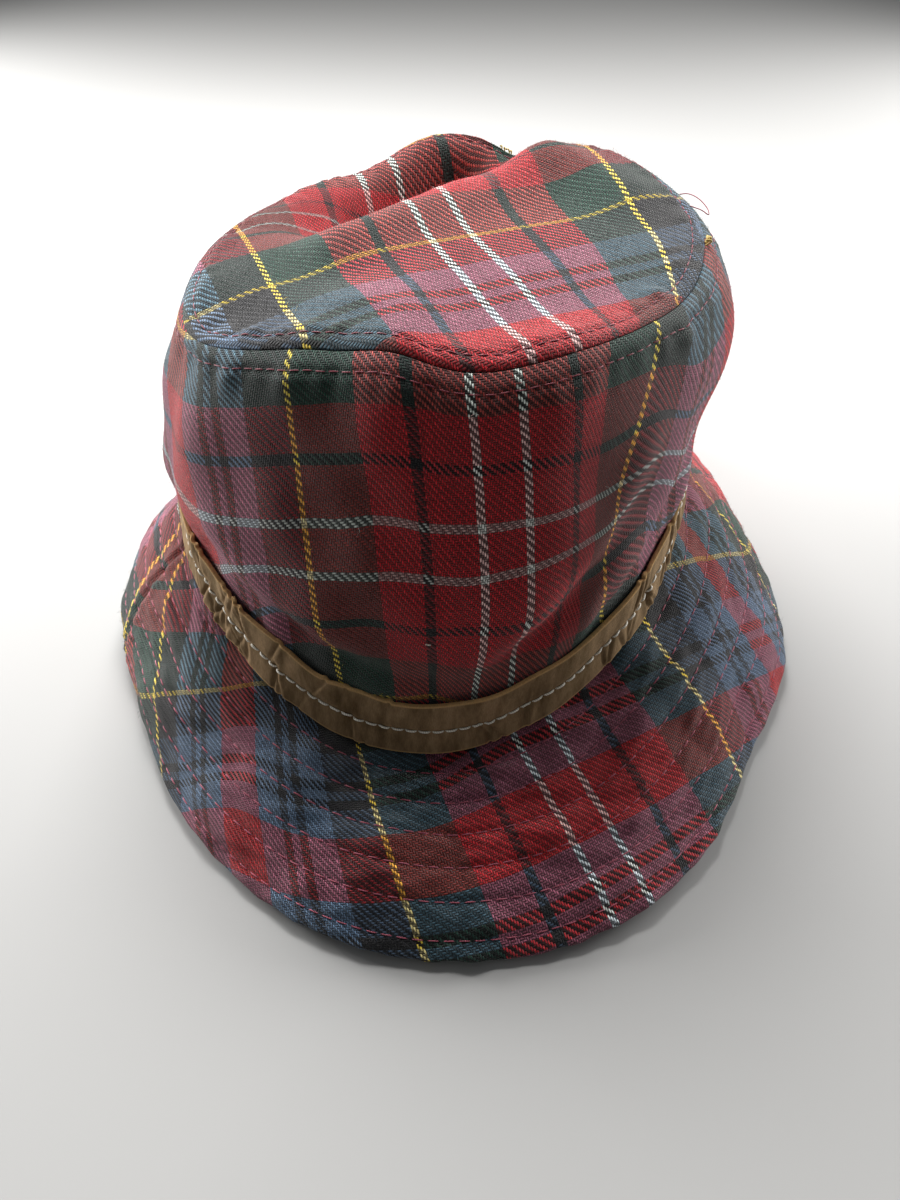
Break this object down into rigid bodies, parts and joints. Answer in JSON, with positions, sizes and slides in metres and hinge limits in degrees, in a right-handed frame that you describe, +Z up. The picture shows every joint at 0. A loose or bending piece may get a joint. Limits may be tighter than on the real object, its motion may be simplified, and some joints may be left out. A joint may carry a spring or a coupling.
{
  "type": "wool bucket hat",
  "caption": "Soft tartan wool bucket hat with a high oval crown, a creased tip, a suede hatband and a sloping stitched brim, resting on its brim.",
  "frame": {"origin": "on the surface that the hat rests on, under the middle of its bounding box", "axes": "+Z up out of the crown, -Y towards the hat's front, +X towards the hat's right as seen from its front"},
  "size_m": [0.2408, 0.3068, 0.137],
  "materials": {
    "tartan_wool": "napped twill",
    "suede": "napped"
  },
  "bodies": {
    "root": {"crown_tip": "tartan_wool", "crown_side": "tartan_wool", "hatband": "suede", "brim": "tartan_wool"}
  },
  "joints": []
}
